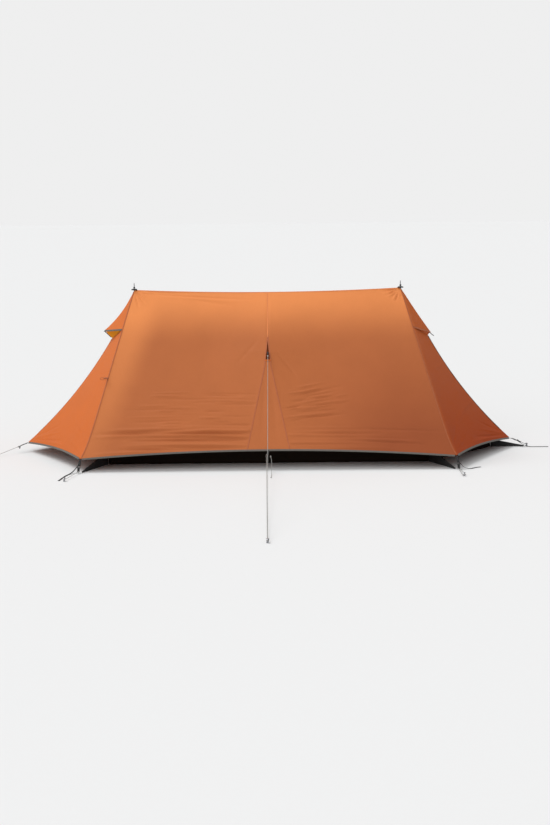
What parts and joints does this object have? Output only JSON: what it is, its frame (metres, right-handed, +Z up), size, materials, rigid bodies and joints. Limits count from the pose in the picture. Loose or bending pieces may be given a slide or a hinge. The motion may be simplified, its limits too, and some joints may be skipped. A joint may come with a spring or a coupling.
{
  "type": "ridge tent pitched on two poles",
  "caption": "Ridge tent on two trekking poles: orange fly with a pulled-out side gusset and hooded end vents, dark inner tent, straps, guy lines and ground pegs.",
  "frame": {"origin": "on the ground under the middle of the ridge", "axes": "+X along the ridge, -Y towards the guyed front side, +Z up; pegs reach below z = 0, into the ground"},
  "size_m": [3.9302, 3.972, 1.335],
  "materials": {
    "fly_cloth": "silicone-coated ripstop nylon, slightly glossy",
    "binding_tape": "woven grosgrain tape",
    "black_webbing": "woven webbing",
    "zip_tape": "zip tape and coil",
    "toggle_cloth": "elastic cord and toggle",
    "tray_cloth": "coated nylon, dark brown",
    "inner_mesh": "fine mesh and nylon",
    "guy_cord": "braided cord",
    "black_plastic": "moulded acetal",
    "lever_plastic": "moulded nylon",
    "grip_foam": "closed-cell foam",
    "pole_tube": "anodised",
    "peg_metal": "anodised",
    "slider_metal": "die-cast, painted",
    "grommet_metal": "pressed"
  },
  "bodies": {
    "shelter": {"fly_front_panels": "fly_cloth", "fly_back_panels": "fly_cloth", "fly_gussets": "fly_cloth", "vent_hoods": "fly_cloth", "fly_end_panels": "fly_cloth", "edge_binding": "binding_tape", "peak_patches": "black_webbing", "grommets": "grommet_metal", "guy_loops": "black_webbing", "door_zips": "zip_tape", "door_tiebacks": "toggle_cloth", "inner_floor": "tray_cloth", "inner_wall": "tray_cloth", "inner_side_mesh": "inner_mesh", "inner_end_mesh": "inner_mesh", "inner_ties": "black_webbing", "pole_grips": "grip_foam", "pole_wrist_straps": "black_webbing", "pole_upper_tubes": "pole_tube", "pole_lower_locks": "black_plastic", "corner_webbing": "black_webbing", "front_guy": "guy_cord", "front_hem_guy": "guy_cord", "front_hem_tail": "guy_cord", "left_guy": "guy_cord", "front_left_cord": "guy_cord", "front_right_cord": "guy_cord", "front_left_tail": "black_webbing", "front_right_tail": "black_webbing", "right_end_tail": "black_webbing"},
    "left_door": {"left_door": "fly_cloth", "left_door_binding": "binding_tape"},
    "right_door": {"right_door": "fly_cloth", "right_door_binding": "binding_tape"},
    "inner_door": {"inner_door": "inner_mesh"},
    "left_vent_strut": {"left_vent_strut": "black_plastic"},
    "right_vent_strut": {"right_vent_strut": "black_plastic"},
    "left_zip_slider": {"left_zip_slider": "slider_metal"},
    "right_zip_slider": {"right_zip_slider": "slider_metal"},
    "left_pole_middle": {"left_pole_middle": "pole_tube", "left_pole_upper_lock": "black_plastic"},
    "left_pole_tip": {"left_pole_tip": "pole_tube"},
    "right_pole_middle": {"right_pole_middle": "pole_tube", "right_pole_upper_lock": "black_plastic"},
    "right_pole_tip": {"right_pole_tip": "pole_tube"},
    "left_lower_lever": {"left_lower_lever": "lever_plastic"},
    "left_upper_lever": {"left_upper_lever": "lever_plastic"},
    "right_lower_lever": {"right_lower_lever": "lever_plastic"},
    "right_upper_lever": {"right_upper_lever": "lever_plastic"},
    "front_left_buckle": {"front_left_buckle": "black_plastic"},
    "front_right_buckle": {"front_right_buckle": "black_plastic"},
    "right_end_buckle": {"right_end_buckle": "black_plastic"},
    "hem_adjuster": {"hem_adjuster": "black_plastic"},
    "peg_front_left": {"peg_front_left": "peg_metal"},
    "peg_front_right": {"peg_front_right": "peg_metal"},
    "peg_back_left": {"peg_back_left": "peg_metal"},
    "peg_back_right": {"peg_back_right": "peg_metal"},
    "peg_left_end": {"peg_left_end": "peg_metal"},
    "peg_right_end": {"peg_right_end": "peg_metal"},
    "peg_front_guy": {"peg_front_guy": "peg_metal"}
  },
  "joints": [
    {"name": "left_door_swing", "type": "hinge", "parent": "shelter", "child": "left_door", "pos_m": [-0.943, 0, 1.15], "axis": [0.2015, 0.6133, 0.7637], "range_deg": [0, 85]},
    {"name": "right_door_swing", "type": "hinge", "parent": "shelter", "child": "right_door", "pos_m": [0.943, 0, 1.15], "axis": [-0.2015, -0.6133, 0.7637], "range_deg": [0, 85]},
    {"name": "inner_door_swing", "type": "hinge", "parent": "shelter", "child": "inner_door", "pos_m": [-0.8015, 0, 0.919], "axis": [0.2827, 0.5605, 0.7784], "range_deg": [-50, 0]},
    {"name": "left_vent_prop", "type": "hinge", "parent": "shelter", "child": "left_vent_strut", "pos_m": [-1.161, 0, 0.8591], "axis": [0, 1, 0], "range_deg": [-30, 0]},
    {"name": "right_vent_rod", "type": "slide", "parent": "shelter", "child": "right_vent_strut", "axis": [0.8, 0, -0.6], "range_m": [-0.02, 0.02]},
    {"name": "left_zip_slide", "type": "slide", "parent": "shelter", "child": "left_zip_slider", "axis": [0.7156, 0, 0.6985], "range_m": [0, 0.12]},
    {"name": "left_pole_middle_slide", "type": "slide", "parent": "shelter", "child": "left_pole_middle", "axis": [0, 0, -1], "range_m": [0, 0.27]},
    {"name": "left_pole_tip_slide", "type": "slide", "parent": "left_pole_middle", "child": "left_pole_tip", "axis": [0, 0, -1], "range_m": [0, 0.18]},
    {"name": "left_lower_lock_lever", "type": "hinge", "parent": "shelter", "child": "left_lower_lever", "pos_m": [-0.9273, 0, 0.547], "axis": [0, 0, -1], "range_deg": [0, 100]},
    {"name": "left_upper_lock_lever", "type": "hinge", "parent": "left_pole_middle", "child": "left_upper_lever", "pos_m": [-0.9283, 0, 0.862], "axis": [0, 0, -1], "range_deg": [0, 100]},
    {"name": "right_zip_slide", "type": "slide", "parent": "shelter", "child": "right_zip_slider", "axis": [-0.6988, 0, 0.7153], "range_m": [0, 0.12]},
    {"name": "right_pole_middle_slide", "type": "slide", "parent": "shelter", "child": "right_pole_middle", "axis": [0, 0, -1], "range_m": [0, 0.27]},
    {"name": "right_pole_tip_slide", "type": "slide", "parent": "right_pole_middle", "child": "right_pole_tip", "axis": [0, 0, -1], "range_m": [0, 0.18]},
    {"name": "right_lower_lock_lever", "type": "hinge", "parent": "shelter", "child": "right_lower_lever", "pos_m": [0.9587, 0, 0.547], "axis": [0, 0, -1], "range_deg": [0, 100]},
    {"name": "right_upper_lock_lever", "type": "hinge", "parent": "right_pole_middle", "child": "right_upper_lever", "pos_m": [0.9577, 0, 0.862], "axis": [0, 0, -1], "range_deg": [0, 100]},
    {"name": "front_right_buckle_tilt", "type": "hinge", "parent": "shelter", "child": "front_right_buckle", "pos_m": [1.252, -0.894, 0.043], "axis": [1, 0, 0], "range_deg": [-15, 15]},
    {"name": "front_left_buckle_tilt", "type": "hinge", "parent": "shelter", "child": "front_left_buckle", "pos_m": [-1.252, -0.894, 0.043], "axis": [1, 0, 0], "range_deg": [-15, 15]},
    {"name": "right_end_buckle_tilt", "type": "hinge", "parent": "shelter", "child": "right_end_buckle", "pos_m": [1.782, 0, 0.044], "axis": [0, 1, 0], "range_deg": [-15, 15]},
    {"name": "hem_adjuster_slide", "type": "slide", "parent": "shelter", "child": "hem_adjuster", "axis": [0.0058, -0.9988, -0.0492], "range_m": [-0.03, 0.4]},
    {"name": "peg_front_left_pull", "type": "slide", "parent": "shelter", "child": "peg_front_left", "axis": [0, 0, 1], "range_m": [0, 0.25]},
    {"name": "peg_front_right_pull", "type": "slide", "parent": "shelter", "child": "peg_front_right", "axis": [0, 0, 1], "range_m": [0, 0.25]},
    {"name": "peg_back_left_pull", "type": "slide", "parent": "shelter", "child": "peg_back_left", "axis": [0, 0, 1], "range_m": [0, 0.25]},
    {"name": "peg_back_right_pull", "type": "slide", "parent": "shelter", "child": "peg_back_right", "axis": [0, 0, 1], "range_m": [0, 0.25]},
    {"name": "peg_left_end_pull", "type": "slide", "parent": "shelter", "child": "peg_left_end", "axis": [0, 0, 1], "range_m": [0, 0.25]},
    {"name": "peg_right_end_pull", "type": "slide", "parent": "shelter", "child": "peg_right_end", "axis": [0, 0, 1], "range_m": [0, 0.25]},
    {"name": "peg_front_guy_pull", "type": "slide", "parent": "shelter", "child": "peg_front_guy", "axis": [0, 0, 1], "range_m": [0, 0.25]}
  ]
}
